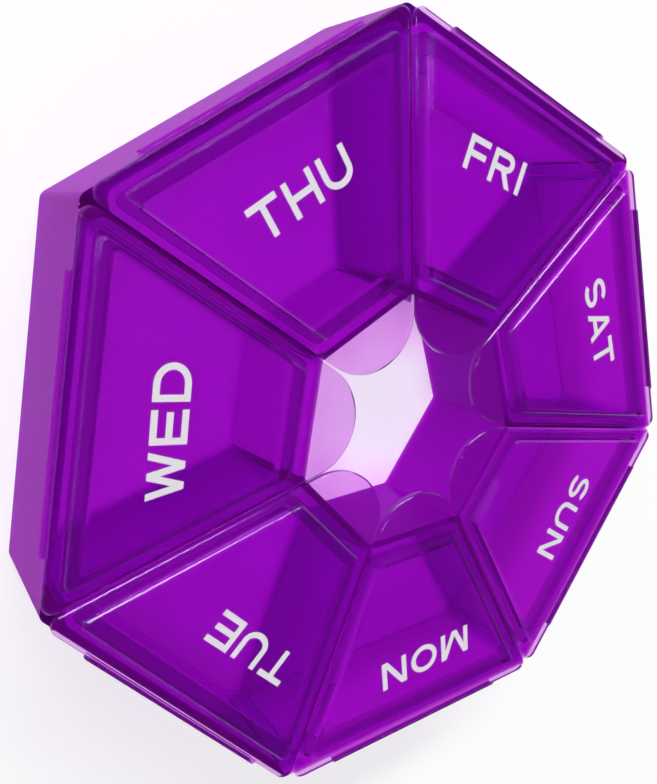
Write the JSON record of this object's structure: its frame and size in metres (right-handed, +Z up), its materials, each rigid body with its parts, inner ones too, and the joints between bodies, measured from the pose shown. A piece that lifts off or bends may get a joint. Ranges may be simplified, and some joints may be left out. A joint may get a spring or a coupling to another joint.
{
  "type": "weekly pill organizer",
  "caption": "Heptagonal ring-shaped weekly pill box with an open middle: a compartment for each day under its own living-hinged lid with a thumb tab.",
  "frame": {"origin": "under the middle of the closed box, on the surface that it stands on", "axes": "+Z up through the ring's open middle; +X across the widest way; the corner between Saturday and Sunday points to +Y and Wednesday's hinge to -Y"},
  "size_m": [0.1258, 0.1238, 0.0248],
  "materials": {
    "tray_plastic": "glossy, see-through purple moulding",
    "lid_plastic": "glossy, see-through purple moulding with a pale printed day name",
    "hinge_plastic": "thin see-through purple web"
  },
  "bodies": {
    "tray": {"tray": "tray_plastic", "hinge_sunday": "hinge_plastic", "hinge_monday": "hinge_plastic", "hinge_tuesday": "hinge_plastic", "hinge_wednesday": "hinge_plastic", "hinge_thursday": "hinge_plastic", "hinge_friday": "hinge_plastic", "hinge_saturday": "hinge_plastic"},
    "lid_sunday": {"lid_sunday": "lid_plastic"},
    "lid_monday": {"lid_monday": "lid_plastic"},
    "lid_tuesday": {"lid_tuesday": "lid_plastic"},
    "lid_wednesday": {"lid_wednesday": "lid_plastic"},
    "lid_thursday": {"lid_thursday": "lid_plastic"},
    "lid_friday": {"lid_friday": "lid_plastic"},
    "lid_saturday": {"lid_saturday": "lid_plastic"}
  },
  "joints": [
    {"name": "sunday_hinge", "type": "hinge", "parent": "tray", "child": "lid_sunday", "pos_m": [0.02552, 0.05037, 0.02295], "axis": [-0.901, 0.4339, 0], "range_deg": [0, 175], "deforming": ["hinge_sunday"]},
    {"name": "monday_hinge", "type": "hinge", "parent": "tray", "child": "lid_monday", "pos_m": [0.05734, 0.01047, 0.02295], "axis": [-0.2225, 0.9749, 0], "range_deg": [0, 175], "deforming": ["hinge_monday"]},
    {"name": "tuesday_hinge", "type": "hinge", "parent": "tray", "child": "lid_tuesday", "pos_m": [0.04598, -0.03929, 0.02295], "axis": [0.6235, 0.7818, 0], "range_deg": [0, 175], "deforming": ["hinge_tuesday"]},
    {"name": "wednesday_hinge", "type": "hinge", "parent": "tray", "child": "lid_wednesday", "pos_m": [0, -0.06143, 0.02295], "axis": [1, 0, 0], "range_deg": [0, 175], "deforming": ["hinge_wednesday"]},
    {"name": "thursday_hinge", "type": "hinge", "parent": "tray", "child": "lid_thursday", "pos_m": [-0.04598, -0.03929, 0.02295], "axis": [0.6235, -0.7818, 0], "range_deg": [0, 175], "deforming": ["hinge_thursday"]},
    {"name": "friday_hinge", "type": "hinge", "parent": "tray", "child": "lid_friday", "pos_m": [-0.05734, 0.01047, 0.02295], "axis": [-0.2225, -0.9749, 0], "range_deg": [0, 175], "deforming": ["hinge_friday"]},
    {"name": "saturday_hinge", "type": "hinge", "parent": "tray", "child": "lid_saturday", "pos_m": [-0.02552, 0.05037, 0.02295], "axis": [-0.901, -0.4339, 0], "range_deg": [0, 175], "deforming": ["hinge_saturday"]}
  ]
}
